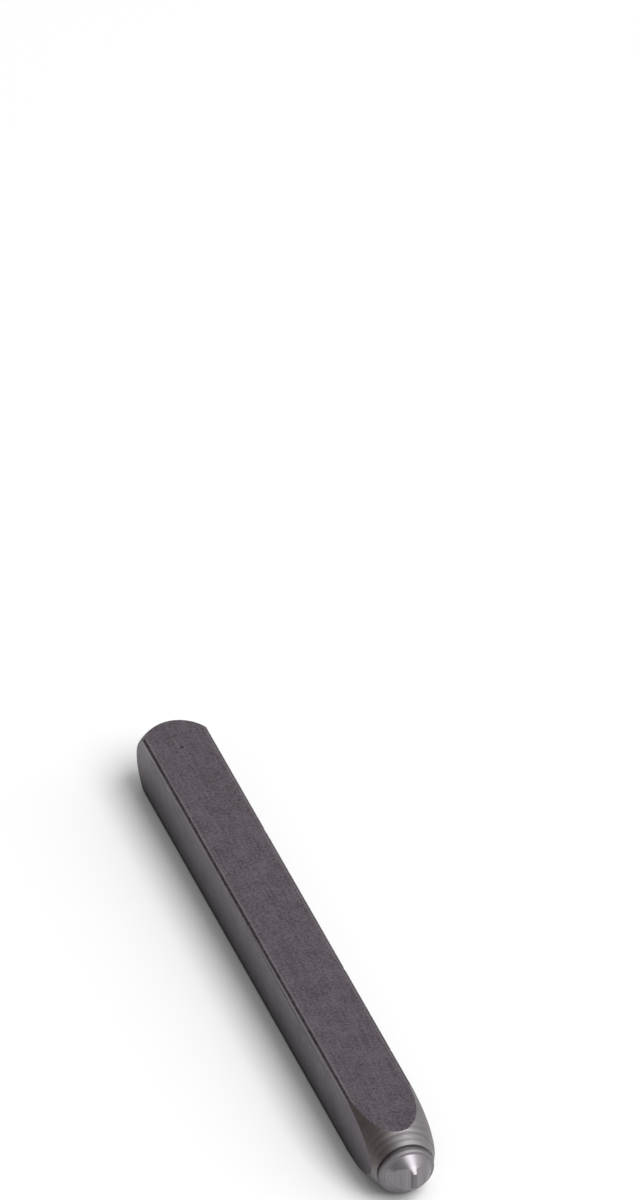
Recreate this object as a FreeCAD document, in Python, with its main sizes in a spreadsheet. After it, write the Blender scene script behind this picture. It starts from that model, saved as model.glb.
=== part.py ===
"""Letter punch: one hardened steel bar, square in the shank and turned at both ends.

The punch lies on a flat side. Z is up, Y runs from the marking tip (towards -Y) to the
struck head (towards +Y), and X goes across. The origin is under the middle of the bar, on
the surface that it lies on. Lengths are in millimetres and angles in degrees.

The body is drawn about its own long axis, with the marking face at y = 0, and its placement
then lays it on its side over the origin.
"""
import FreeCAD, Part
import math
import os

import Sketcher

SIZES = [
    ("shank_width", 6.0, "across two opposite sides of the square shank"),
    ("edge_radius", 0.3, "rounding of the shank's four long edges"),
    ("overall_length", 67.5, "marking face to struck face"),
    ("mark_height", 1.5, "height of the letter, and so the small end of the cone"),
    ("mark_width", 0.28, "thickness of the letter's stroke at its face"),
    ("mark_relief", 0.4, "how far the stroke stands above the flats ground beside it"),
    ("mark_draft", 18.0, "slope of the stroke's flanks from the long axis"),
    ("relief_angle", 66.0, "slope of the ground flats from the long axis"),
    ("rim_diameter", 4.9, "large end of the cone"),
    ("rim_distance", 1.9, "marking face to the large end of the cone"),
    ("rim_thickness", 0.16, "rim left standing at the cone's large end"),
    ("neck_diameter", 4.6, "bottom of the narrow groove behind the rim"),
    ("neck_width", 0.26, "opening of that groove"),
    ("shoulder_diameter", 5.12, "front end of the curved nose"),
    ("nose_radius", 16.0, "curve of the nose, seen from the side"),
    ("nose_taper", 4.5, "slope of the nose from the long axis, where its curve ends"),
    ("nose_length", 11.2, "marking face to where the taper meets the square's corners"),
    ("ring_count", 3, "turning rings on the nose"),
    ("ring_pitch", 0.6, "from one turning ring to the next"),
    ("ring_width", 0.32, "opening of a turning ring"),
    ("ring_depth", 0.03, "depth of a turning ring"),
    ("crown_length", 3.0, "struck face back to where the crown meets the square's corners"),
    ("crown_radius", 5.5, "curve of the crown, seen from the side"),
    ("struck_diameter", 4.2, "flat struck face"),
    ("cutting_margin", 1.0, "how far a cutting outline reaches past the bar"),
]

# Places that several outlines share, as expressions of the sizes above.
CORNER_RADIUS = "sizes.shank_width / sqrt(2)"
OUTSIDE = f"{CORNER_RADIUS} + sizes.cutting_margin"
NECK_START = "sizes.rim_distance + sizes.rim_thickness"
SHOULDER_DISTANCE = f"{NECK_START} + sizes.neck_width"
FLANK_FOOT = "sizes.mark_width / 2 + sizes.mark_relief * tan(sizes.mark_draft)"
FLAT_END = "sizes.rim_diameter / 2 + sizes.cutting_margin"
FULL_TURN = 360.0

# A sketch numbers its origin, the first curve that it borrows, and the points of a curve.
SKETCH_ORIGIN = (-1, 1)
BORROWED_CURVE = -3
START, END, CENTRE = 1, 2, 3


def make_sheet(doc):
    """Write the driving dimensions to a spreadsheet, one row each: name, value and meaning."""
    sheet = doc.addObject("Spreadsheet::Sheet", "sizes")
    for row, (name, value, meaning) in enumerate(SIZES, start=1):
        sheet.set(f"A{row}", name)
        sheet.set(f"B{row}", str(value))
        sheet.set(f"C{row}", meaning)
        sheet.setAlias(f"B{row}", name)
    doc.recompute()
    return sheet


def origin_plane(body, role):
    """Find one of the body's own origin planes."""
    return next(item for item in body.Origin.OriginFeatures if item.Role == role)


def add_sketch(body, name, role):
    """Start a sketch on one of the body's own origin planes."""
    sketch = body.newObject("Sketcher::SketchObject", name)
    sketch.AttachmentSupport = [(origin_plane(body, role), "")]
    sketch.MapMode = "FlatFace"
    sketch.Visibility = False
    return sketch


def drive(sketch, kind, terms, value, expression):
    """Add a dimension at the value that the sketch has now, and tie it to the sheet."""
    number = sketch.addConstraint(Sketcher.Constraint(kind, *terms, value))
    sketch.setExpression(f"Constraints[{number}]", expression)


def pin(sketch, across, up):
    """Place a construction point by its two distances from the origin."""
    start = FreeCAD.Vector(1, 1, 0)
    point = sketch.addGeometry(Part.Point(start), True)
    drive(sketch, "DistanceX", (*SKETCH_ORIGIN, point, START), start.x, across)
    drive(sketch, "DistanceY", (*SKETCH_ORIGIN, point, START), start.y, up)
    return point


def pin_on(sketch, circle, across):
    """Place a construction point on the upper half of a circle, by its distance across."""
    whole = sketch.Geometry[circle]
    top = whole.Center + FreeCAD.Vector(0, whole.Radius, 0)
    point = sketch.addGeometry(Part.Point(top), True)
    sketch.addConstraint(Sketcher.Constraint("PointOnObject", point, START, circle))
    drive(sketch, "DistanceX", (*SKETCH_ORIGIN, point, START), top.x, across)
    return point


def add_line(sketch, start, end):
    """Draw a straight line between two pins."""
    ends = [sketch.getPoint(place, START) for place in (start, end)]
    line = sketch.addGeometry(Part.LineSegment(*ends))
    sketch.addConstraint(Sketcher.Constraint("Coincident", line, START, start, START))
    sketch.addConstraint(Sketcher.Constraint("Coincident", line, END, end, START))


def add_lines(sketch, pins):
    """Draw straight lines from each pin to the next."""
    for start, end in zip(pins, pins[1:]):
        add_line(sketch, start, end)


def add_arc(sketch, centre, start, end):
    """Draw an arc anticlockwise about a centre, from one point to another."""
    axis = FreeCAD.Vector(0, 0, 1)
    circle = Part.Circle(centre, axis, centre.distanceToPoint(start))
    return sketch.addGeometry(Part.ArcOfCircle(circle, circle.parameter(start), circle.parameter(end)))


def turn_away(doc, body, name, outline):
    """Turn an outline about the long axis and cut what it sweeps from the bar."""
    groove = body.newObject("PartDesign::Groove", name)
    groove.Profile = outline
    groove.ReferenceAxis = (outline, ["H_Axis"])
    groove.Angle = FULL_TURN
    doc.recompute()


def runs_along_bar(edge):
    """Tell whether a straight edge points along the bar rather than across it."""
    direction = edge.tangentAt(edge.FirstParameter)
    return abs(direction.y) > max(abs(direction.x), abs(direction.z))


def make_shank(doc, body):
    """Pad the square bar over the whole length and round its four long edges."""
    section = add_sketch(body, "shank_section", "XZ_Plane")
    half = "sizes.shank_width / 2"
    corners = [pin(section, half, half), pin(section, f"-{half}", half)]
    corners += [pin(section, f"-{half}", f"-{half}"), pin(section, half, f"-{half}")]
    doc.recompute()
    add_lines(section, corners + corners[:1])

    bar = body.newObject("PartDesign::Pad", "square_bar")
    bar.Profile = section
    bar.Reversed = True
    bar.setExpression("Length", "sizes.overall_length")
    doc.recompute()

    rounding = body.newObject("PartDesign::Fillet", "rounded_edges")
    long_edges = [
        f"Edge{number}"
        for number, edge in enumerate(bar.Shape.Edges, start=1)
        if runs_along_bar(edge)
    ]
    rounding.Base = (bar, long_edges)
    rounding.setExpression("Radius", "sizes.edge_radius")
    doc.recompute()


def make_nose(doc, body, sheet):
    """Turn the front end: cone, standing rim, neck groove, shoulder, curved nose and taper."""
    outline = add_sketch(body, "nose_outline", "YZ_Plane")
    stations = [
        ("sizes.nose_length", CORNER_RADIUS),
        ("sizes.nose_length", OUTSIDE),
        ("-sizes.cutting_margin", OUTSIDE),
        ("-sizes.cutting_margin", "sizes.mark_height / 2"),
        ("0", "sizes.mark_height / 2"),
        ("sizes.rim_distance", "sizes.rim_diameter / 2"),
        (NECK_START, "sizes.rim_diameter / 2"),
        (NECK_START, "sizes.neck_diameter / 2"),
        (SHOULDER_DISTANCE, "sizes.neck_diameter / 2"),
        (SHOULDER_DISTANCE, "sizes.shoulder_diameter / 2"),
    ]
    pins = [pin(outline, *station) for station in stations]
    doc.recompute()
    add_lines(outline, pins)

    # The curve leaves the shoulder and runs into the straight taper without a kink.
    corner, shoulder = outline.getPoint(pins[0], START), outline.getPoint(pins[-1], START)
    slope = math.radians(sheet.nose_taper)
    along = FreeCAD.Vector(math.cos(slope), math.sin(slope), 0)
    inward = FreeCAD.Vector(math.sin(slope), -math.cos(slope), 0) * sheet.nose_radius
    reach = corner + inward - shoulder
    half_chord = math.sqrt(sheet.nose_radius**2 - reach.cross(along).Length**2)
    meeting = corner - along * (reach.dot(along) - half_chord)
    curve = add_arc(outline, meeting + inward, meeting, shoulder)
    taper = outline.addGeometry(Part.LineSegment(meeting, corner))
    outline.addConstraint(Sketcher.Constraint("Coincident", curve, END, pins[-1], START))
    outline.addConstraint(Sketcher.Constraint("Coincident", taper, END, pins[0], START))
    outline.addConstraint(Sketcher.Constraint("Tangent", curve, START, taper, START))
    drive(outline, "Radius", (curve,), sheet.nose_radius, "sizes.nose_radius")
    drive(outline, "Angle", (taper,), slope, "sizes.nose_taper")
    doc.recompute()
    turn_away(doc, body, "turned_nose", outline)
    return outline


def make_rings(doc, body, sheet, nose_outline):
    """Cut the rings that the turning tool left in the nose's curve, a V each."""
    rings = add_sketch(body, "ring_outlines", "YZ_Plane")
    curve = next(
        number
        for number, edge in enumerate(nose_outline.Shape.Edges, start=1)
        if isinstance(edge.Curve, Part.Circle)
    )
    rings.addExternal(nose_outline.Name, f"Edge{curve}")
    doc.recompute()
    nose_centre = (BORROWED_CURVE, CENTRE)
    levels = []
    for sign in ("-", "+"):
        circle = Part.Circle(rings.getPoint(*nose_centre), FreeCAD.Vector(0, 0, 1), sheet.nose_radius)
        level = rings.addGeometry(circle, True)
        rings.addConstraint(Sketcher.Constraint("Coincident", level, CENTRE, *nose_centre))
        drive(rings, "Radius", (level,), circle.Radius, f"sizes.nose_radius {sign} sizes.ring_depth")
        levels.append(level)
    floor, above = levels
    doc.recompute()

    for ring in range(1, int(sheet.ring_count) + 1):
        middle = f"{SHOULDER_DISTANCE} + {ring} * sizes.ring_pitch"
        corners = [
            pin_on(rings, above, f"{middle} - sizes.ring_width"),
            pin_on(rings, floor, middle),
            pin_on(rings, above, f"{middle} + sizes.ring_width"),
        ]
        doc.recompute()
        add_lines(rings, corners + corners[:1])
    doc.recompute()
    turn_away(doc, body, "turning_rings", rings)


def make_crown(doc, body, sheet):
    """Turn the struck end down to its flat face with a rounded crown."""
    outline = add_sketch(body, "crown_outline", "YZ_Plane")
    crown_start = "sizes.overall_length - sizes.crown_length"
    past_end = "sizes.overall_length + sizes.cutting_margin"
    stations = [
        ("sizes.overall_length", "sizes.struck_diameter / 2"),
        (past_end, "sizes.struck_diameter / 2"),
        (past_end, OUTSIDE),
        (crown_start, OUTSIDE),
        (crown_start, CORNER_RADIUS),
    ]
    pins = [pin(outline, *station) for station in stations]
    doc.recompute()
    add_lines(outline, pins)

    face, side = outline.getPoint(pins[0], START), outline.getPoint(pins[-1], START)
    chord = side - face
    inward = FreeCAD.Vector(-chord.y, chord.x, 0).normalize()
    centre = face + chord / 2 + inward * math.sqrt(sheet.crown_radius**2 - (chord.Length / 2) ** 2)
    curve = add_arc(outline, centre, face, side)
    outline.addConstraint(Sketcher.Constraint("Coincident", curve, START, pins[0], START))
    outline.addConstraint(Sketcher.Constraint("Coincident", curve, END, pins[-1], START))
    drive(outline, "Radius", (curve,), sheet.crown_radius, "sizes.crown_radius")
    doc.recompute()
    turn_away(doc, body, "rounded_crown", outline)


def make_letter(doc, body):
    """Grind a flat on each side of the tip, so that a plain upright stroke stands between."""
    outline = add_sketch(body, "relief_outline", "XY_Plane")
    flat_end_distance = f"sizes.mark_relief + ({FLAT_END} - ({FLANK_FOOT})) / tan(sizes.relief_angle)"
    stations = [
        ("sizes.mark_width / 2", "-sizes.cutting_margin"),
        ("sizes.mark_width / 2", "0"),
        (FLANK_FOOT, "sizes.mark_relief"),
        (FLAT_END, flat_end_distance),
        (FLAT_END, "-sizes.cutting_margin"),
    ]
    pins = [pin(outline, *station) for station in stations]
    doc.recompute()
    add_lines(outline, pins + pins[:1])

    flat = body.newObject("PartDesign::Pocket", "ground_flat")
    flat.Profile = outline
    flat.Type = "ThroughAll"
    flat.SideType = "Symmetric"
    doc.recompute()

    both = body.newObject("PartDesign::Mirrored", "ground_flats")
    both.Originals = [flat]
    both.MirrorPlane = (origin_plane(body, "YZ_Plane"), [""])
    body.Tip = both
    doc.recompute()


def make_punch(doc, sheet):
    """Build the punch and lay it on its side over the origin."""
    body = doc.addObject("PartDesign::Body", "letter_punch")
    body.Label = "letter_punch"
    make_shank(doc, body)
    nose_outline = make_nose(doc, body, sheet)
    make_rings(doc, body, sheet, nose_outline)
    make_crown(doc, body, sheet)
    make_letter(doc, body)
    body.setExpression("Placement.Base.y", "-sizes.overall_length / 2")
    body.setExpression("Placement.Base.z", "sizes.shank_width / 2")
    doc.recompute()
    return body


def check(doc, parts):
    """Stop if any object failed, or any part's shape is missing or not valid."""
    for item in doc.Objects:
        if "Invalid" in item.State or "Error" in item.State:
            raise RuntimeError(f"{item.Name} failed: {item.State}")
    for part in parts:
        if part.Shape.isNull() or not part.Shape.isValid():
            raise RuntimeError(f"{part.Label} has no valid shape")
        if len(part.Shape.Solids) != 1:
            raise RuntimeError(f"{part.Label} is not one solid")


def main():
    """Build the document, check it and write each part's shape."""
    doc = FreeCAD.newDocument("letter_punch")
    parts = [make_punch(doc, make_sheet(doc))]
    check(doc, parts)
    os.makedirs("parts", exist_ok=True)
    for part in parts:
        part.Shape.exportStep(os.path.join("parts", f"{part.Label}.step"))
        box = part.Shape.optimalBoundingBox(False, False)
        size = f"{box.XLength:.3f} x {box.YLength:.3f} x {box.ZLength:.3f} mm"
        print(f"{part.Label}: {size}, volume {part.Shape.Volume:.2f} cubic mm")


main()
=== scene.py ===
"""Looks of a letter punch: a hardened steel hand stamp that lies on a side of its square shank.

The punch is turned, ground and cut with mesh operators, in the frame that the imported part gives.
Y runs from the marking tip (towards -Y) to the struck head (towards +Y), Z is up and X goes across.
Lengths are in metres, and a size written as "6.0 * MM" is in millimetres. Angles are in radians.
"""

import logging
import math
import random
from dataclasses import dataclass, field
from enum import Enum
from typing import Callable

import bmesh
import bpy
from mathutils import Matrix, Vector


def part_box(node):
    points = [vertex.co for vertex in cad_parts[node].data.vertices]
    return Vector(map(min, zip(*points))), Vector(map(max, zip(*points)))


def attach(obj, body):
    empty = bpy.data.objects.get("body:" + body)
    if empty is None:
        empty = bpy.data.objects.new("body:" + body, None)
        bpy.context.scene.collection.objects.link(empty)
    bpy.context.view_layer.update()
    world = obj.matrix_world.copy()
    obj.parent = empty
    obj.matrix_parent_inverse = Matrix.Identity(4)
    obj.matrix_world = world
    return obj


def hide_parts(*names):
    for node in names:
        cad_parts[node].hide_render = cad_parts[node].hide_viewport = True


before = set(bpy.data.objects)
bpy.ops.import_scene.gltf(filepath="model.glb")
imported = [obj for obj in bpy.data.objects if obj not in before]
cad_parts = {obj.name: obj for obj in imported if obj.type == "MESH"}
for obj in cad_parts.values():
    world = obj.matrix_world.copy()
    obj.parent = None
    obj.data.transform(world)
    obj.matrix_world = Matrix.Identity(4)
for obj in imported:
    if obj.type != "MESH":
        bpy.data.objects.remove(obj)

MM = 0.001
UM = 1e-6
QUARTER_TURN = math.pi / 2
FULL_TURN = 2 * math.pi
SPIN_STEPS = 256
MERGE_DISTANCE = 0.02 * UM
ON_PLANE = 0.5 * UM
NODE = "letter_punch"
BODY = "root"
UP = Vector((0, 0, 1))
ALONG = Vector((0, 1, 0))

Colour = tuple[float, float, float]
Factors = tuple[float, float, float]
Span = tuple[float, float]
Station = tuple[float, float]

log = logging.getLogger("letter_punch")


class Zone(Enum):
    """Surfaces with a finish of their own. The value is the material slot of the mesh."""

    SHANK = 0
    NOSE = 1
    CONE = 2
    RIM = 3
    CROWN = 4


class Side(Enum):
    """The four flats of the shank, each as the direction that it faces."""

    RIGHT = (1, 0, 0)
    LEFT = (-1, 0, 0)
    TOP = (0, 0, 1)
    UNDERSIDE = (0, 0, -1)


@dataclass
class TurnedNose:
    """The turned front end, as an outline of distances from the marking face and radii."""

    mark_radius: float = 0.75 * MM
    rim_radius: float = 2.45 * MM
    rim_distance: float = 1.9 * MM
    rim_thickness: float = 0.16 * MM
    rim_bevel: float = 0.04 * MM
    bead_length: float = 0.42 * MM
    bead_angle: float = math.radians(34)
    bead_rows: int = 8
    neck_radius: float = 2.3 * MM
    neck_width: float = 0.26 * MM
    shoulder_radius: float = 2.56 * MM
    tip_lean: float = math.radians(4.2)
    tip_shift: tuple[float, float] = (-0.18 * MM, -0.16 * MM)
    tip_stretch: float = 0.04
    shoulder_share: float = 0.8
    askew_length: float = 4.0 * MM
    curve_radius: float = 16.0 * MM
    taper: float = math.radians(4.5)
    length: float = 11.2 * MM
    ring_pitch: float = 0.6 * MM
    ring_reach: float = 0.29 * MM
    ring_depth: float = 0.03 * MM
    ring_count: int = 3
    feed_pitch: float = 0.2 * MM
    feed_depth: float = 0.003 * MM
    fine_step: float = 0.04 * MM
    fine_length: float = 4.0 * MM
    coarse_step: float = 0.3 * MM
    cone_rows: int = 16

    def bead_start(self) -> float:
        """Distance from the marking face to where the rim's rounded front begins."""
        return self.rim_distance - self.bead_length

    def shoulder(self) -> float:
        """Distance from the marking face to the shoulder behind the neck."""
        return self.rim_distance + self.rim_thickness + self.neck_width

    def smooth_radius(self, corner_radius: float) -> Callable[[float], float]:
        """Find the nose's radius: a curve from the shoulder that runs into a straight taper.

        Args:
            corner_radius: radius at which the taper meets the corners of the square.

        Returns:
            A function from the distance behind the marking face to the radius there.
        """
        along = Vector((math.cos(self.taper), math.sin(self.taper)))
        inward = Vector((math.sin(self.taper), -math.cos(self.taper))) * self.curve_radius
        corner = Vector((self.length, corner_radius))
        reach = corner + inward - Vector((self.shoulder(), self.shoulder_radius))
        across = reach.x * along.y - reach.y * along.x
        half_chord = math.sqrt(self.curve_radius**2 - across**2)
        meeting = corner - along * (reach.dot(along) - half_chord)
        centre = meeting + inward

        def radius(distance: float) -> float:
            """Find the radius at one place.

            Args:
                distance: distance behind the marking face.

            Returns:
                The radius there.
            """
            if distance > meeting.x:
                return corner_radius - (self.length - distance) * math.tan(self.taper)
            return centre.y + math.sqrt(self.curve_radius**2 - (distance - centre.x) ** 2)

        return radius

    def mark_depth(self, distance: float) -> float:
        """Find how deep the turning rings and the tool's feed marks are.

        Args:
            distance: distance behind the marking face.

        Returns:
            The depth below the smooth surface.
        """
        depth = 0.0
        for ring in range(1, self.ring_count + 1):
            off = abs(distance - self.shoulder() - ring * self.ring_pitch) / self.ring_reach
            if off < 1:
                depth = self.ring_depth * (1 + math.cos(math.pi * off)) / 2
        feed = (1 - math.cos(FULL_TURN * distance / self.feed_pitch)) / 2
        return depth + self.feed_depth * feed

    def outline(self, corner_radius: float, past: float) -> list[Station]:
        """List the nose's stations, from the axis at the marking face to past the corners.

        Args:
            corner_radius: radius of the square's sharp corners.
            past: how far the straight taper runs on outside the bar.

        Returns:
            Distances from the marking face with their radii.
        """
        stations = [(0.0, 0.0)]
        slope = (self.rim_radius - self.mark_radius) / self.rim_distance
        for row in range(self.cone_rows + 1):
            distance = self.bead_start() * row / self.cone_rows
            stations.append((distance, self.mark_radius + slope * distance))
        reach = self.bead_length / math.cos(self.bead_angle)
        rise = (self.rim_radius - stations[-1][1]) / (1 - math.sin(self.bead_angle))
        for row in range(1, self.bead_rows + 1):
            angle = self.bead_angle + (QUARTER_TURN - self.bead_angle) * row / self.bead_rows
            out = self.rim_radius - rise * (1 - math.sin(angle))
            stations.append((self.rim_distance - reach * math.cos(angle), out))
        neck = self.rim_distance + self.rim_thickness
        stations.append((neck - self.rim_bevel, self.rim_radius))
        stations.append((neck, self.rim_radius - self.rim_bevel))
        stations += [(neck, self.neck_radius), (self.shoulder(), self.neck_radius)]
        radius = self.smooth_radius(corner_radius)
        distance = self.shoulder()
        while distance < self.length + past:
            stations.append((distance, radius(distance) - self.mark_depth(distance)))
            fine = distance < self.shoulder() + self.fine_length
            distance += self.fine_step if fine else self.coarse_step
        return stations

    def askew(self, distance: float, across: float, height: float) -> Vector:
        """Find how far the tip stands from the true centre line, as it was ground by hand.

        Args:
            distance: distance behind the marking face.
            across: distance to the right of the long axis.
            height: height above the long axis.

        Returns:
            The offset: none at the marking face, all of it at the rim, and fading along the nose.
        """
        rim_back = self.rim_distance + self.rim_thickness
        share = min(distance / self.rim_distance, 1.0)
        if distance > rim_back:
            over_neck = min((distance - rim_back) / self.neck_width, 1.0)
            along_nose = (distance - self.shoulder()) / self.askew_length
            share = 1.0 + (self.shoulder_share - 1.0) * over_neck
            share *= (1.0 - min(max(along_nose, 0.0), 1.0)) ** 2
        sideways, upward = self.tip_shift
        lean = -height * math.tan(self.tip_lean)
        return Vector((sideways + across * self.tip_stretch, lean, upward)) * share


@dataclass
class RoundedCrown:
    """The struck end, rounded down to a flat face."""

    length: float = 3.0 * MM
    curve_radius: float = 5.5 * MM
    face_radius: float = 2.1 * MM
    rows: int = 28
    face_rows: int = 5

    def outline(self, overall_length: float, corner_radius: float) -> list[Station]:
        """List the crown's stations from the square's corners to the axis at the struck face.

        Args:
            overall_length: distance from the marking face to the struck face.
            corner_radius: radius of the square's sharp corners.

        Returns:
            Distances from the marking face with their radii.
        """
        start = Vector((overall_length - self.length, corner_radius))
        end = Vector((overall_length, self.face_radius))
        chord = end - start
        inward = Vector((chord.y, -chord.x)).normalized()
        rise = math.sqrt(self.curve_radius**2 - (chord.length / 2) ** 2)
        centre = (start + end) / 2 + inward * rise
        first = math.atan2(start.y - centre.y, start.x - centre.x)
        last = math.atan2(end.y - centre.y, end.x - centre.x)
        stations = []
        for row in range(self.rows + 1):
            angle = first + (last - first) * row / self.rows
            arm = Vector((math.cos(angle), math.sin(angle))) * self.curve_radius
            stations.append(tuple(centre + arm))
        for row in range(1, self.face_rows + 1):
            share = 1 - row / self.face_rows
            stations.append((overall_length, self.face_radius * share))
        return stations


@dataclass
class RaisedLetter:
    """The upright stroke on the tip, left standing between two ground flats."""

    width: float = 0.28 * MM
    relief: float = 0.4 * MM
    draft: float = math.radians(18)
    relief_angle: float = math.radians(66)

    def foot(self) -> float:
        """Distance from the middle to where the stroke's flank meets the ground flat."""
        return self.width / 2 + self.relief * math.tan(self.draft)


@dataclass
class Nick:
    """A small knock in one of the shank's long edges.

    Attributes:
        across: which edge, as the signs of X and of Z about the bar's axis.
        distance: distance behind the marking face.
        reach: half its length along the edge.
        depth: how deep it goes.
    """

    across: tuple[int, int]
    distance: float
    reach: float
    depth: float


@dataclass
class EdgeWear:
    """Knocks along the four long edges: those that show, and a few more of the same kind.

    A knock's shape is drawn by rows of points along the edge, in shares of its reach.
    """

    seen: tuple[Nick, ...] = (
        Nick((-1, 1), 36.2 * MM, 0.45 * MM, 0.075 * MM),
        Nick((-1, 1), 37.4 * MM, 0.22 * MM, 0.05 * MM),
        Nick((-1, 1), 52.0 * MM, 0.2 * MM, 0.03 * MM),
        Nick((1, 1), 48.5 * MM, 0.3 * MM, 0.04 * MM),
        Nick((1, 1), 20.3 * MM, 0.25 * MM, 0.03 * MM),
    )
    seed: int = 7
    more: int = 20
    first: float = 13.0 * MM
    last: float = 63.0 * MM
    least_reach: float = 0.12 * MM
    most_reach: float = 0.4 * MM
    depth_share: float = 0.13
    rows: tuple[float, ...] = (-1.0, -0.6, -0.3, 0.0, 0.3, 0.6, 1.0)

    def nicks(self) -> list[Nick]:
        """List every knock, the seen ones first.

        Returns:
            The knocks.
        """
        rng = random.Random(self.seed)
        found = list(self.seen)
        for _ in range(self.more):
            across = (rng.choice((-1, 1)), rng.choice((-1, 1)))
            distance = rng.uniform(self.first, self.last)
            reach = rng.uniform(self.least_reach, self.most_reach)
            found.append(Nick(across, distance, reach, reach * self.depth_share))
        return found


def cut_away(mesh: bmesh.types.BMesh, point: Vector, outward: Vector, zone: Zone) -> None:
    """Cut off what lies outside a plane and close the cut with one face.

    Args:
        mesh: the closed mesh.
        point: a point of the plane.
        outward: the direction that the new face looks in.
        zone: the finish of the new face.
    """
    everything = mesh.verts[:] + mesh.edges[:] + mesh.faces[:]
    cut = bmesh.ops.bisect_plane(
        mesh, geom=everything, dist=MERGE_DISTANCE,
        plane_co=point, plane_no=outward, clear_outer=True,
    )
    rim = [item for item in cut["geom_cut"] if isinstance(item, bmesh.types.BMEdge)]
    closed = bmesh.ops.holes_fill(mesh, edges=rim, sides=0)
    for face in closed["faces"]:
        face.material_index = zone.value


def split(
    mesh: bmesh.types.BMesh, faces: list[bmesh.types.BMFace], point: Vector, normal: Vector
) -> None:
    """Draw a line where a plane crosses some faces, and remove nothing.

    Args:
        mesh: the mesh.
        faces: the faces to be crossed.
        point: a point of the plane.
        normal: the plane's normal.
    """
    # Not sets, because their order would change from run to run.
    edges = dict.fromkeys(edge for face in faces for edge in face.edges)
    verts = dict.fromkeys(vert for face in faces for vert in face.verts)
    geometry = faces + list(edges) + list(verts)
    bmesh.ops.bisect_plane(
        mesh, geom=geometry, dist=MERGE_DISTANCE, plane_co=point, plane_no=normal
    )


def faces_of(mesh: bmesh.types.BMesh, zone: Zone) -> list[bmesh.types.BMFace]:
    """List the faces that have the finish of a zone."""
    return [face for face in mesh.faces if face.material_index == zone.value]


def beyond(
    faces: list[bmesh.types.BMFace], point: Vector, outward: Vector
) -> list[bmesh.types.BMFace]:
    """List the faces whose middle lies on the outer side of a plane.

    Args:
        faces: the faces to choose from.
        point: a point of the plane.
        outward: the direction of the outer side.

    Returns:
        The chosen faces.
    """
    return [face for face in faces if (face.calc_center_median() - point).dot(outward) > 0]


@dataclass(frozen=True)
class Noise:
    """Cloudy noise of one size.

    Attributes:
        scale: clouds to the metre.
        detail: how many finer layers lie on it.
        roughness: how strong the finer layers are.
        stretch: clouds to the metre in each direction, where scale is 1, or None.
    """

    scale: float
    detail: float
    roughness: float
    stretch: Factors | None = None


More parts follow.
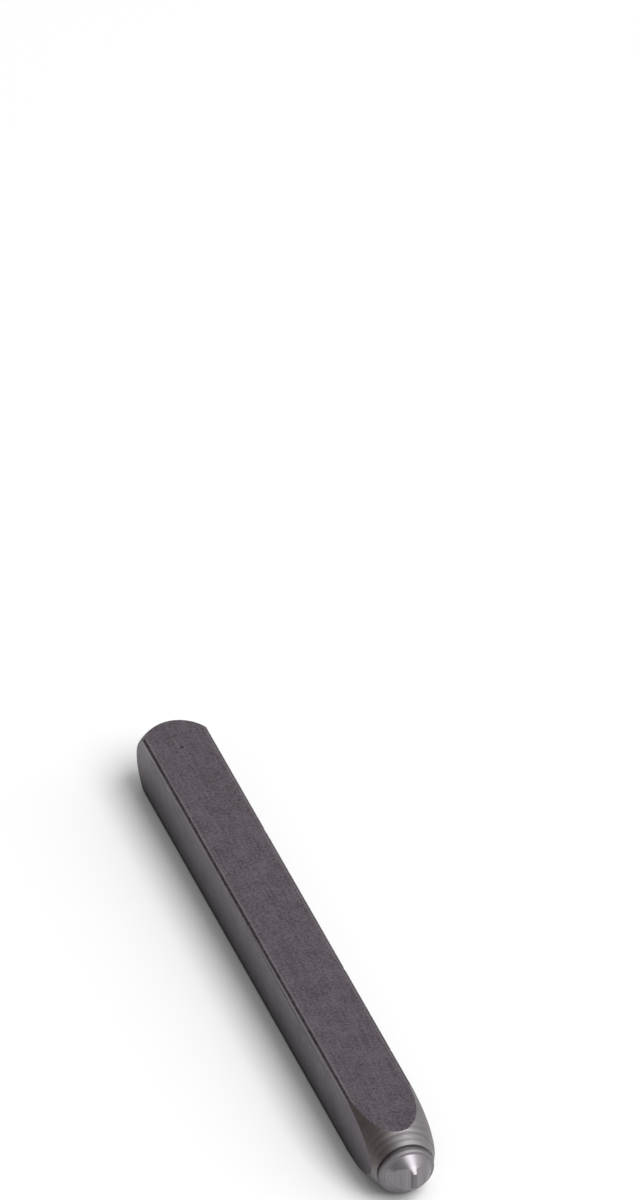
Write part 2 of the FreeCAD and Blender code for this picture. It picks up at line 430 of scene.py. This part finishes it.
class NodeDesk:
    """Wires up the nodes of one procedural steel finish."""

    def __init__(self, name: str) -> None:
        """Start an empty material with a steel shader and the piece's own coordinates.

        Args:
            name: the material's name.
        """
        self.material = bpy.data.materials.new(name)
        self.material.use_nodes = True
        self.tree = self.material.node_tree
        self.tree.nodes.clear()
        output = self.add("ShaderNodeOutputMaterial")
        self.shader = self.add("ShaderNodeBsdfPrincipled")
        self.join(self.shader.outputs["BSDF"], output.inputs["Surface"])
        self.place = self.add("ShaderNodeTexCoord").outputs["Object"]

    def add(self, kind: str, **settings: object) -> bpy.types.Node:
        """Add a node and set its properties.

        Args:
            kind: the node's type.
            settings: its properties, by name.

        Returns:
            The node.
        """
        node = self.tree.nodes.new(kind)
        for name, value in settings.items():
            setattr(node, name, value)
        return node

    def join(self, source: bpy.types.NodeSocket, target: bpy.types.NodeSocket) -> None:
        """Link one socket to another."""
        self.tree.links.new(source, target)

    def feed(self, socket: bpy.types.NodeSocket, value: object) -> None:
        """Link a socket to another, or set it to a constant.

        Args:
            socket: the input.
            value: another socket, or the constant.
        """
        if isinstance(value, bpy.types.NodeSocket):
            self.join(value, socket)
        else:
            socket.default_value = value

    def math(self, operation: str, *values: object) -> bpy.types.NodeSocket:
        """Work out one number from one to three others.

        Args:
            operation: what is done with the numbers.
            values: sockets or constants.

        Returns:
            The result.
        """
        node = self.add("ShaderNodeMath", operation=operation)
        for socket, value in zip(node.inputs, values):
            self.feed(socket, value)
        return node.outputs["Value"]

    def coordinate(self, axis: str) -> bpy.types.NodeSocket:
        """Take one of the piece's own coordinates.

        Args:
            axis: its letter.

        Returns:
            The coordinate.
        """
        parts = self.add("ShaderNodeSeparateXYZ")
        self.join(self.place, parts.inputs["Vector"])
        return parts.outputs[axis]

    def noise(self, kind: Noise) -> bpy.types.NodeSocket:
        """Noise from 0 to 1.

        Args:
            kind: its size, its fineness and its stretch.

        Returns:
            The noise.
        """
        place = self.place
        if kind.stretch is not None:
            stretched = self.add("ShaderNodeMapping")
            stretched.inputs["Scale"].default_value = kind.stretch
            self.join(place, stretched.inputs["Vector"])
            place = stretched.outputs["Vector"]
        node = self.add("ShaderNodeTexNoise", noise_dimensions="3D")
        node.inputs["Scale"].default_value = kind.scale
        node.inputs["Detail"].default_value = kind.detail
        node.inputs["Roughness"].default_value = kind.roughness
        self.join(place, node.inputs["Vector"])
        return node.outputs["Fac"]

    def mixture(self, *layers: tuple[bpy.types.NodeSocket, float]) -> bpy.types.NodeSocket:
        """Add up layers, each with its weight.

        Args:
            layers: pairs of a layer and its weight.

        Returns:
            The sum.
        """
        total = 0.0
        for layer, weight in layers:
            total = self.math("MULTIPLY_ADD", layer, weight, total)
        return total

    def span(
        self, value: object, low: float, high: float, to_low: float = 0.0, to_high: float = 1.0
    ) -> bpy.types.NodeSocket:
        """Map a range smoothly to another.

        Args:
            value: what is mapped.
            low: where the range starts.
            high: where it ends.
            to_low: the result up to low.
            to_high: the result from high on.

        Returns:
            The mapped value.
        """
        node = self.add("ShaderNodeMapRange", interpolation_type="SMOOTHSTEP")
        self.feed(node.inputs["Value"], value)
        limits = {"From Min": low, "From Max": high, "To Min": to_low, "To Max": to_high}
        for name, number in limits.items():
            node.inputs[name].default_value = number
        return node.outputs["Result"]

    def blend(self, share: object, first: object, second: object) -> bpy.types.NodeSocket:
        """Mix two colours.

        Args:
            share: how much of the second, from 0 to 1.
            first: the first colour.
            second: the second colour.

        Returns:
            The mixed colour.
        """
        node = self.add("ShaderNodeMix", data_type="RGBA")
        sockets = {socket.identifier: socket for socket in node.inputs}
        for name, value in (("Factor_Float", share), ("A_Color", first), ("B_Color", second)):
            if isinstance(value, tuple):
                value = (*value, 1.0)
            self.feed(sockets[name], value)
        return next(socket for socket in node.outputs if socket.identifier == "Result_Color")

    def spots(self, to_metre: float, chance: Span, size: float) -> bpy.types.NodeSocket:
        """Small round spots, some of them larger than others.

        Args:
            to_metre: places for a spot to the metre.
            chance: at which random number spots begin, and at which they are largest.
            size: radius of the largest, as a share of the distance between places.

        Returns:
            1 in a spot and 0 elsewhere.
        """
        places = self.add("ShaderNodeTexVoronoi", feature="F1")
        places.inputs["Scale"].default_value = to_metre
        self.join(self.place, places.inputs["Vector"])
        random_number = self.add("ShaderNodeSeparateColor")
        self.join(places.outputs["Color"], random_number.inputs["Color"])
        radius = self.span(random_number.outputs["Red"], *chance, 0.0, size)
        return self.math("LESS_THAN", places.outputs["Distance"], radius)

    def relief(self, height: object, depth: float, normal: object = None) -> bpy.types.NodeSocket:
        """Fine relief that the light picks up.

        Args:
            height: the relief from 0 to 1.
            depth: how deep it is.
            normal: relief that lies under it, or None.

        Returns:
            The bent normal.
        """
        node = self.add("ShaderNodeBump")
        node.inputs["Strength"].default_value = 1.0
        node.inputs["Distance"].default_value = depth
        self.join(height, node.inputs["Height"])
        if normal is not None:
            self.join(normal, node.inputs["Normal"])
        return node.outputs["Normal"]

    def wave(self, pitch: float, drift: object) -> bpy.types.NodeSocket:
        """Even rings about the long axis, as a tool's feed leaves them, from 0 to 1.

        Args:
            pitch: from one ring to the next.
            drift: a shift of the rings along the bar, in rings.

        Returns:
            The rings.
        """
        turns = self.math("ADD", self.math("DIVIDE", self.coordinate("Y"), pitch), drift)
        swing = self.math("SINE", self.math("MULTIPLY", turns, FULL_TURN))
        return self.math("MULTIPLY_ADD", swing, 0.5, 0.5)

    def finish(
        self, colour: object, roughness: object, normal: object, metallic: float
    ) -> bpy.types.Material:
        """Dress the shader and hand over the material.

        Args:
            colour: the base colour.
            roughness: the roughness.
            normal: the bent normal.
            metallic: how much of a metal it is.

        Returns:
            The material.
        """
        self.feed(self.shader.inputs["Base Color"], colour)
        self.feed(self.shader.inputs["Roughness"], roughness)
        self.feed(self.shader.inputs["Normal"], normal)
        self.shader.inputs["Metallic"].default_value = metallic
        return self.material


@dataclass(frozen=True)
class HardenedSteel:
    """Matt dark grey of the hardened shank: fine grit, faint grinding, pits, worn edges, and
    painted shade that darkens it towards the floor.

    The weights and shares run from 0 to 1, and the depths are those of fine relief.
    """

    half_width: float
    name: str = "hardened_steel"
    dark: Colour = (0.074, 0.059, 0.074)
    light: Colour = (0.178, 0.152, 0.178)
    worn: Colour = (0.19, 0.175, 0.185)
    pit: Colour = (0.03, 0.024, 0.028)
    # The scale colour is painted shade, not scale on the steel: it darkens the lower part of the
    # shank.
    scale: Colour = (0.012, 0.008, 0.011)
    metallic: float = 1.0
    grit: Noise = Noise(4800.0, 4.0, 0.6)
    grit_weight: float = 0.62
    grit_depth: float = 14 * UM
    clouds: Noise = Noise(500.0, 3.0, 0.55)
    clouds_weight: float = 0.18
    grinding: Noise = Noise(1.0, 3.0, 0.6, (3800.0, 260.0, 3800.0))
    grinding_weight: float = 0.20
    grinding_depth: float = 5 * UM
    tones: Span = (0.34, 0.66)
    pits_to_metre: float = 420.0
    pit_chance: Span = (0.62, 1.0)
    pit_size: float = 0.085
    pit_share: float = 0.75
    pit_depth: float = 15 * UM
    smoothest: float = 0.36
    grit_roughness: float = 0.22
    wear_polish: float = 0.12
    wear_share: float = 0.6
    wear_outside: float = 0.22 * MM
    wear_crest: float = 0.3 * MM
    wear_inside: float = 0.42 * MM
    wear_fray: float = 0.12 * MM
    # Painted shade towards the floor: strong low down, and a weaker shade that reaches higher up
    # the sides.
    low_shade_share: float = 0.95
    low_shade_full: float = 0.6 * MM
    low_shade_end: float = 1.44 * MM
    low_shade_waver: float = 0.2 * MM
    upper_shade_share: float = 0.46
    upper_shade_end: float = 5.0 * MM

    def build(self) -> bpy.types.Material:
        """Make the material.

        Returns:
            The material.
        """
        desk = NodeDesk(self.name)
        grit, clouds = desk.noise(self.grit), desk.noise(self.clouds)
        grinding = desk.noise(self.grinding)
        tone = desk.mixture(
            (clouds, self.clouds_weight), (grit, self.grit_weight), (grinding, self.grinding_weight)
        )
        colour = desk.blend(desk.span(tone, *self.tones), self.dark, self.light)
        pits = desk.spots(self.pits_to_metre, self.pit_chance, self.pit_size)
        colour = desk.blend(desk.math("MULTIPLY", pits, self.pit_share), colour, self.pit)
        wear = self.edge_wear(desk, grit)
        colour = desk.blend(desk.math("MULTIPLY", wear, self.wear_share), colour, self.worn)
        # Painted shade: the shank is darkened towards the floor, where the contact shadow falls.
        colour = desk.blend(self.painted_low_shade(desk, clouds), colour, self.scale)
        roughness = desk.math("MULTIPLY_ADD", grit, self.grit_roughness, self.smoothest)
        roughness = desk.math("MULTIPLY_ADD", wear, -self.wear_polish, roughness)
        normal = desk.relief(grit, self.grit_depth)
        normal = desk.relief(grinding, self.grinding_depth, normal)
        normal = desk.relief(desk.math("SUBTRACT", 1.0, pits), self.pit_depth, normal)
        return desk.finish(colour, roughness, normal, self.metallic)

    def painted_low_shade(self, desk: NodeDesk, clouds: bpy.types.NodeSocket) -> bpy.types.NodeSocket:
        """Find how much painted shade darkens the shank: strong along the two lower edges, where
        the contact shadow falls, and weaker higher up.

        Args:
            desk: the material's nodes.
            clouds: noise that makes the border uneven.

        Returns:
            The share of painted shade, from 0 to 1.
        """
        height = desk.math("MULTIPLY_ADD", clouds, self.low_shade_waver, desk.coordinate("Z"))
        thick = desk.span(height, self.low_shade_full, self.low_shade_end, self.low_shade_share, 0.0)
        thin = desk.span(height, self.low_shade_full, self.upper_shade_end, self.upper_shade_share, 0.0)
        return desk.math("MAXIMUM", thick, thin)

    def edge_wear(self, desk: NodeDesk, grit: bpy.types.NodeSocket) -> bpy.types.NodeSocket:
        """Find the narrow worn strips on both sides of each rounded edge.

        Args:
            desk: the material's nodes.
            grit: noise that frays the strips.

        Returns:
            The share of edge wear, from 0 to 1.
        """
        across = desk.math("ABSOLUTE", desk.coordinate("X"))
        height = desk.math("SUBTRACT", desk.coordinate("Z"), self.half_width)
        inner = desk.math("MINIMUM", across, desk.math("ABSOLUTE", height))
        frayed = desk.math("MULTIPLY_ADD", grit, self.wear_fray, inner)
        outside = self.half_width - self.wear_outside
        rising = desk.span(frayed, self.half_width - self.wear_inside, outside)
        falling = desk.span(inner, self.half_width - self.wear_crest, outside, 1.0, 0.0)
        return desk.math("MULTIPLY", rising, falling)


@dataclass(frozen=True)
class TurnedSteel:
    """Bare turned steel, with the rings that a tool's feed leaves round the axis.

    The weights and shares run from 0 to 1. The drifts are counted in rings, the faint rings'
    pitch in pitches of the others, and their depth and that of the bands in depths of a ring.
    """

    name: str
    dark: Colour
    light: Colour
    # This colour serves the real stains and also the painted shade on the side away from the light.
    stain_and_shade: Colour
    pitch: float
    ring_depth: float
    least_roughness: float
    most_roughness: float
    # Painted shade on the upper left side, which faces away from the light: how much there is,
    # where it is full and where it ends.
    left_shade: float = 0.0
    left_shade_full: float = -1.6 * MM
    left_shade_end: float = -0.2 * MM
    left_shade_waver: float = 0.8 * MM
    left_shade_heights: Span = (2.2 * MM, 4.0 * MM)
    metallic: float = 1.0
    grit: Noise = Noise(5200.0, 3.0, 0.6)
    grit_depth: float = 4 * UM
    clouds: Noise = Noise(520.0, 3.0, 0.6)
    clouds_weight: float = 0.34
    bands: Noise = Noise(1.0, 2.0, 0.5, (60.0, 2600.0, 60.0))
    bands_weight: float = 0.4
    bands_depth: float = 2.2
    ring_weight: float = 0.26
    ring_drift: float = 0.9
    faint_pitch: float = 2.7
    faint_drift: float = 0.6
    faint_depth: float = 0.8
    tones: Span = (0.3, 0.7)
    polish: Span = (0.2, 0.8)
    stains: Span = (0.30, 0.42)
    stain_share: float = 0.45

    def build(self) -> bpy.types.Material:
        """Make the material.

        Returns:
            The material.
        """
        desk = NodeDesk(self.name)
        grit, clouds, bands = desk.noise(self.grit), desk.noise(self.clouds), desk.noise(self.bands)
        rings = desk.wave(self.pitch, desk.math("MULTIPLY", clouds, self.ring_drift))
        faint_pitch = self.pitch * self.faint_pitch
        faint = desk.wave(faint_pitch, desk.math("MULTIPLY", clouds, self.faint_drift))
        tone = desk.mixture(
            (bands, self.bands_weight), (rings, self.ring_weight), (clouds, self.clouds_weight)
        )
        colour = desk.blend(desk.span(tone, *self.tones), self.dark, self.light)
        stain = desk.span(desk.math("MULTIPLY", grit, clouds), *self.stains)
        colour = desk.blend(desk.math("MULTIPLY", stain, self.stain_share), colour, self.stain_and_shade)
        # Painted shade: the upper left side, turned away from the light, takes the stain colour.
        colour = desk.blend(self.painted_left_shade(desk, clouds), colour, self.stain_and_shade)
        roughness = desk.span(tone, *self.polish, self.most_roughness, self.least_roughness)
        normal = desk.relief(rings, self.ring_depth)
        normal = desk.relief(faint, self.ring_depth * self.faint_depth, normal)
        normal = desk.relief(bands, self.ring_depth * self.bands_depth, normal)
        normal = desk.relief(grit, self.grit_depth, normal)
        return desk.finish(colour, roughness, normal, self.metallic)

    def painted_left_shade(self, desk: NodeDesk, clouds: bpy.types.NodeSocket) -> bpy.types.NodeSocket:
        """Find how much painted shade darkens the upper left side, which faces away from the light.

        Args:
            desk: the material's nodes.
            clouds: noise that makes the shade's border uneven.

        Returns:
            The share of painted shade, from 0 to 1.
        """
        across = desk.math("MULTIPLY_ADD", clouds, self.left_shade_waver, desk.coordinate("X"))
        beside = desk.span(across, self.left_shade_full, self.left_shade_end, self.left_shade, 0.0)
        above = desk.span(desk.coordinate("Z"), *self.left_shade_heights)
        return desk.math("MULTIPLY", beside, above)


@dataclass
class LetterPunch:
    """The whole punch: one bar, turned at both ends, with its letter and its wear."""

    name: str = "punch"
    edge_radius: float = 0.3 * MM
    edge_cuts: int = 8
    past: float = 0.6 * MM
    rounding_turn: float = math.radians(40)
    crease: float = math.radians(33)
    nose: TurnedNose = field(default_factory=TurnedNose)
    crown: RoundedCrown = field(default_factory=RoundedCrown)
    letter: RaisedLetter = field(default_factory=RaisedLetter)
    wear: EdgeWear = field(default_factory=EdgeWear)

    def __post_init__(self) -> None:
        """Take the bar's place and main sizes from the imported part."""
        low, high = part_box(NODE)
        self.low = low
        self.half = (high.x - low.x) / 2
        self.overall_length = high.y - low.y
        self.centre = Vector((0, 0, self.half))

    def corner_radius(self) -> float:
        """Radius of the square's sharp corners about the long axis."""
        return self.half * math.sqrt(2)

    def zone_at(self, distance: float) -> Zone:
        """Find the finish of the turned surface at one place.

        Args:
            distance: distance behind the marking face.

        Returns:
            The zone there.
        """
        if distance < self.nose.bead_start():
            return Zone.CONE
        if distance < self.nose.rim_distance + self.nose.rim_thickness:
            return Zone.RIM
        if distance < self.overall_length / 2:
            return Zone.NOSE
        return Zone.CROWN

    def turn(self) -> bmesh.types.BMesh:
        """Spin the whole outline about the long axis.

        Returns:
            A closed mesh of the turned blank, thicker than the square bar in its middle.
        """
        stations = self.nose.outline(self.corner_radius(), self.past)
        stations += [(self.overall_length - self.crown.length - self.past, stations[-1][1])]
        stations += [(self.overall_length - self.crown.length, stations[-1][1])]
        stations += self.crown.outline(self.overall_length, self.corner_radius())
        mesh = bmesh.new()
        verts = [mesh.verts.new((0, self.low.y + y, self.half + r)) for y, r in stations]
        edges = [mesh.edges.new(pair) for pair in zip(verts, verts[1:])]
        bmesh.ops.spin(
            mesh, geom=verts + edges, cent=self.centre, axis=ALONG, dvec=(0, 0, 0),
            angle=FULL_TURN, steps=SPIN_STEPS, use_merge=True,
        )
        bmesh.ops.remove_doubles(mesh, verts=mesh.verts[:], dist=MERGE_DISTANCE)
        bmesh.ops.recalc_face_normals(mesh, faces=mesh.faces[:])
        for face in mesh.faces:
            face.material_index = self.zone_at(face.calc_center_median().y - self.low.y).value
        for vert in mesh.verts:
            vert.co += self.nose.askew(vert.co.y - self.low.y, vert.co.x, vert.co.z - self.half)
        return mesh

    def square(self, mesh: bmesh.types.BMesh) -> None:
        """Cut the four flats and round the four long edges with tangent cuts.

        Args:
            mesh: the turned blank.
        """
        for side in Side:
            outward = Vector(side.value)
            cut_away(mesh, self.centre + outward * self.half, outward, Zone.SHANK)
        arm = self.half - self.edge_radius
        for corner in range(4):
            start = corner * QUARTER_TURN
            middle = self.centre + self.corner_arm(start + QUARTER_TURN / 2) * arm * math.sqrt(2)
            for cut in range(1, self.edge_cuts + 1):
                outward = self.corner_arm(start + QUARTER_TURN * cut / (self.edge_cuts + 1))
                cut_away(mesh, middle + outward * self.edge_radius, outward, Zone.SHANK)

    def corner_arm(self, angle: float) -> Vector:
        """Direction at an angle about the long axis, from +X towards +Z."""
        return Vector((math.cos(angle), 0, math.sin(angle)))

    def grind_flat(self, mesh: bmesh.types.BMesh, sign: int) -> None:
        """Raise one side of the letter: remove what is beside it, in front of a ground flat.

        Args:
            mesh: the punch.
            sign: 1 for the flat towards +X, and -1 for the other.
        """
        letter = self.letter
        flank_out = Vector((sign * math.cos(letter.draft), -math.sin(letter.draft), 0))
        flank_point = Vector((sign * letter.width / 2, self.low.y, self.half))
        slope = letter.relief_angle
        flat_out = Vector((sign * math.cos(slope), -math.sin(slope), 0))
        flat_point = Vector((sign * letter.foot(), self.low.y + letter.relief, self.half))
        split(mesh, faces_of(mesh, Zone.CONE), flank_point, flank_out)
        beside = beyond(faces_of(mesh, Zone.CONE), flank_point, flank_out)
        split(mesh, beside, flat_point, flat_out)
        beside = beyond(faces_of(mesh, Zone.CONE), flank_point, flank_out)
        waste = beyond(beside, flat_point, flat_out)
        bmesh.ops.delete(mesh, geom=waste, context="FACES")
        rim = [edge for edge in mesh.edges if edge.is_boundary]
        verts = {vert for edge in rim for vert in edge.verts}
        on_flank = {v for v in verts if abs((v.co - flank_point).dot(flank_out)) < ON_PLANE}
        on_flat = {v for v in verts if abs((v.co - flat_point).dot(flat_out)) < ON_PLANE}
        foot = sorted(on_flank & on_flat, key=lambda vert: vert.co.z)
        crease = mesh.edges.new((foot[0], foot[-1]))
        for group in (on_flank, on_flat):
            loop = [edge for edge in rim if edge.verts[0] in group and edge.verts[1] in group]
            made = bmesh.ops.contextual_create(mesh, geom=loop + [crease])
            for face in made["faces"]:
                face.material_index = Zone.CONE.value

    def rounding(self, mesh: bmesh.types.BMesh, across: Vector) -> list[bmesh.types.BMFace]:
        """List the faces of one rounded long edge, which looks across."""
        least = math.cos(self.rounding_turn)
        return [face for face in faces_of(mesh, Zone.SHANK) if face.normal.dot(across) > least]

    def knock(self, mesh: bmesh.types.BMesh) -> None:
        """Press the nicks into the long edges.

        Args:
            mesh: the punch.
        """
        corner = self.corner_radius() - self.edge_radius * (math.sqrt(2) - 1)
        for nick in self.wear.nicks():
            across = Vector((nick.across[0], 0, nick.across[1])).normalized()
            heart = self.centre + across * corner
            heart.y = self.low.y + nick.distance
            for step in self.wear.rows:
                split(mesh, self.rounding(mesh, across), heart + ALONG * step * nick.reach, ALONG)
            for vert in {vert for face in self.rounding(mesh, across) for vert in face.verts}:
                off = (vert.co - heart).length / nick.reach
                if off < 1:
                    vert.co -= across * nick.depth * (1 - off * off) ** 2

    def set_creases(self, mesh: bmesh.types.BMesh) -> None:
        """Shade smoothly, with a sharp line where two finishes or two cuts meet.

        Args:
            mesh: the punch.
        """
        for face in mesh.faces:
            face.smooth = True
        for edge in mesh.edges:
            zones = {face.material_index for face in edge.link_faces}
            edge.smooth = len(zones) == 1 and edge.calc_face_angle(0.0) < self.crease

    def build(self, finishes: dict[Zone, bpy.types.Material]) -> bpy.types.Object:
        """Make the punch and dress it.

        Args:
            finishes: the material of each zone.

        Returns:
            The finished piece.
        """
        mesh = self.turn()
        self.square(mesh)
        for sign in (-1, 1):
            self.grind_flat(mesh, sign)
        self.knock(mesh)
        self.set_creases(mesh)
        data = bpy.data.meshes.new(self.name)
        mesh.to_mesh(data)
        mesh.free()
        for zone in Zone:
            data.materials.append(finishes[zone])
        piece = bpy.data.objects.new(self.name, data)
        bpy.context.scene.collection.objects.link(piece)
        normals = piece.modifiers.new("flat_sides", "WEIGHTED_NORMAL")
        normals.keep_sharp = True
        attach(piece, BODY)
        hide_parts(NODE)
        return piece


@dataclass(frozen=True)
class SoftLight:
    """A broad soft light in the sky, brightest in one direction.

    Attributes:
        azimuth: its direction, turned from the tip's towards the right.
        elevation: its height above the floor, as an angle.
        level: how bright it is in its middle.
        focus: how quickly it fades away from there.
    """

    azimuth: float
    elevation: float
    level: float
    focus: float

    def towards(self) -> Vector:
        """Find the direction from the punch to the middle of the light.

        Returns:
            The direction, with a length of 1.
        """
        level = math.cos(self.elevation)
        side, front = math.sin(self.azimuth) * level, -math.cos(self.azimuth) * level
        return Vector((side, front, math.sin(self.elevation)))


@dataclass
class Studio:
    """A plain white floor under soft light, brighter from the right than from the left."""

    floor_size: float = 6.0
    floor_colour: Colour = (0.86, 0.86, 0.86)
    sky_lights: tuple[SoftLight, ...] = (
        SoftLight(math.radians(150), math.radians(35), 0.95, 14.0),
        SoftLight(math.radians(72), math.radians(27), 1.62, 15.0),
        SoftLight(math.radians(175), math.radians(66), 0.44, 10.0),
        SoftLight(math.radians(312), math.radians(36), 0.60, 8.5),
    )
    lamp_from: Vector = field(default_factory=lambda: Vector((0.32, -0.48, 0.82)))
    lamp_distance: float = 2.5
    lamp_width: float = 1.3
    lamp_length: float = 2.6
    lamp_power: float = 60.0

    def build(self) -> None:
        """Make the floor, the sky and the lamp."""
        self.make_floor()
        self.make_sky()
        self.make_lamp()

    def make_floor(self) -> None:
        """Lay the floor that the punch rests on."""
        mesh = bmesh.new()
        bmesh.ops.create_grid(mesh, x_segments=2, y_segments=2, size=self.floor_size / 2)
        data = bpy.data.meshes.new("floor")
        mesh.to_mesh(data)
        mesh.free()
        material = bpy.data.materials.new("floor_white")
        material.use_nodes = True
        shader = material.node_tree.nodes["Principled BSDF"]
        shader.inputs["Base Color"].default_value = (*self.floor_colour, 1.0)
        shader.inputs["Roughness"].default_value = 1.0
        shader.inputs["Specular IOR Level"].default_value = 0.0
        data.materials.append(material)
        floor = bpy.data.objects.new("floor", data)
        bpy.context.scene.collection.objects.link(floor)

    def make_sky(self) -> None:
        """Set a sky of broad soft lights, each fading evenly to nothing on its far side."""
        world = bpy.data.worlds.new("soft_sky")
        world.use_nodes = True
        tree = world.node_tree
        place = tree.nodes.new("ShaderNodeTexCoord").outputs["Generated"]
        total = 0.0
        for light in self.sky_lights:
            facing = tree.nodes.new("ShaderNodeVectorMath")
            facing.operation = "DOT_PRODUCT"
            facing.inputs[1].default_value = light.towards()
            tree.links.new(place, facing.inputs[0])
            share = self.sky_math(tree, "MULTIPLY_ADD", facing.outputs["Value"], 0.5, 0.5)
            glow = self.sky_math(tree, "POWER", share, light.focus)
            total = self.sky_math(tree, "MULTIPLY_ADD", glow, light.level, total)
        shader = tree.nodes["Background"]
        shader.inputs["Color"].default_value = (1.0, 1.0, 1.0, 1.0)
        tree.links.new(total, shader.inputs["Strength"])
        bpy.context.scene.world = world

    @staticmethod
    def sky_math(tree: bpy.types.NodeTree, operation: str, *values: object) -> bpy.types.NodeSocket:
        """Work out one number of the sky from two or three others.

        Args:
            tree: the sky's nodes.
            operation: what is done with the numbers.
            values: sockets or constants.

        Returns:
            The result.
        """
        node = tree.nodes.new("ShaderNodeMath")
        node.operation = operation
        for socket, value in zip(node.inputs, values):
            if isinstance(value, bpy.types.NodeSocket):
                tree.links.new(value, socket)
            else:
                socket.default_value = value
        return node.outputs["Value"]

    def make_lamp(self) -> None:
        """Hang one large soft lamp above the front right."""
        data = bpy.data.lights.new("soft_lamp", "AREA")
        data.shape = "RECTANGLE"
        data.size = self.lamp_width
        data.size_y = self.lamp_length
        data.energy = self.lamp_power
        lamp = bpy.data.objects.new("soft_lamp", data)
        back = self.lamp_from.normalized()
        across = ALONG.cross(back).normalized()
        upward = back.cross(across)
        turn = Matrix((across, upward, back)).transposed()
        lamp.matrix_world = Matrix.Translation(back * self.lamp_distance) @ turn.to_4x4()
        lamp.visible_camera = False
        bpy.context.scene.collection.objects.link(lamp)


@dataclass
class Viewpoint:
    """The camera: far off, above the front left of the tip."""

    elevation: float = math.radians(36.657)
    turn: float = math.radians(18.372)
    roll: float = math.radians(1.105)
    aim: Vector = field(default_factory=lambda: Vector((19.569, 49.238, 3.0)) * MM)
    distance: float = 2.3285
    sensor: float = 36.0
    lens: float = 780.0

    def build(self) -> None:
        """Make the camera and give it to the scene."""
        level = math.cos(self.elevation)
        aside, ahead = math.sin(self.turn) * level, math.cos(self.turn) * level
        sight = Vector((aside, ahead, -math.sin(self.elevation)))
        across = sight.cross(UP).normalized()
        upward = across.cross(sight)
        rolled = Matrix.Rotation(self.roll, 3, sight)
        axes = Matrix((rolled @ across, rolled @ upward, -sight)).transposed()
        data = bpy.data.cameras.new("camera")
        data.sensor_width = self.sensor
        data.lens = self.lens
        data.clip_start = self.distance / 10
        data.clip_end = self.distance * 10
        camera = bpy.data.objects.new("camera", data)
        camera.matrix_world = Matrix.Translation(self.aim - sight * self.distance) @ axes.to_4x4()
        bpy.context.scene.collection.objects.link(camera)
        bpy.context.scene.camera = camera


def make_finishes(half_width: float) -> dict[Zone, bpy.types.Material]:
    """Make the finish of each zone.

    Args:
        half_width: half of the shank's width.

    Returns:
        The material of each zone.
    """
    # The nose alone gets painted shade on its upper left side, which faces away from the light.
    nose = TurnedSteel(
        "turned_nose_steel", (0.19, 0.176, 0.184), (0.31, 0.295, 0.303), (0.125, 0.092, 0.084),
        pitch=0.09 * MM, ring_depth=2.0 * UM, least_roughness=0.48, most_roughness=0.64, left_shade=0.6,
    )
    cone = TurnedSteel(
        "bare_cone_steel", (0.18, 0.165, 0.18), (0.30, 0.282, 0.302), (0.12, 0.095, 0.11),
        pitch=0.055 * MM, ring_depth=1.0 * UM, least_roughness=0.34, most_roughness=0.45,
    )
    rim = TurnedSteel(
        "turned_rim_steel", (0.17, 0.157, 0.168), (0.26, 0.243, 0.258), (0.12, 0.095, 0.10),
        pitch=0.07 * MM, ring_depth=2.0 * UM, least_roughness=0.52, most_roughness=0.66,
    )
    # The crown gets a darker steel than the shank.
    crown = TurnedSteel(
        "dark_crown_steel", (0.04, 0.032, 0.04), (0.075, 0.064, 0.075), (0.025, 0.02, 0.022),
        pitch=0.08 * MM, ring_depth=2.0 * UM, least_roughness=0.40, most_roughness=0.55,
    )
    return {
        Zone.SHANK: HardenedSteel(half_width).build(),
        Zone.NOSE: nose.build(),
        Zone.CONE: cone.build(),
        Zone.RIM: rim.build(),
        Zone.CROWN: crown.build(),
    }


def main() -> None:
    """Build the studio, the camera and the punch, and report each piece."""
    logging.basicConfig(level=logging.INFO, format="%(message)s")
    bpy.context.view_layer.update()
    bpy.context.scene.view_settings.view_transform = "Standard"
    Studio().build()
    Viewpoint().build()
    punch = LetterPunch()
    piece = punch.build(make_finishes(punch.half))
    log.info("%s: %d faces", piece.name, len(piece.data.polygons))


if __name__ == "__main__":
    main()
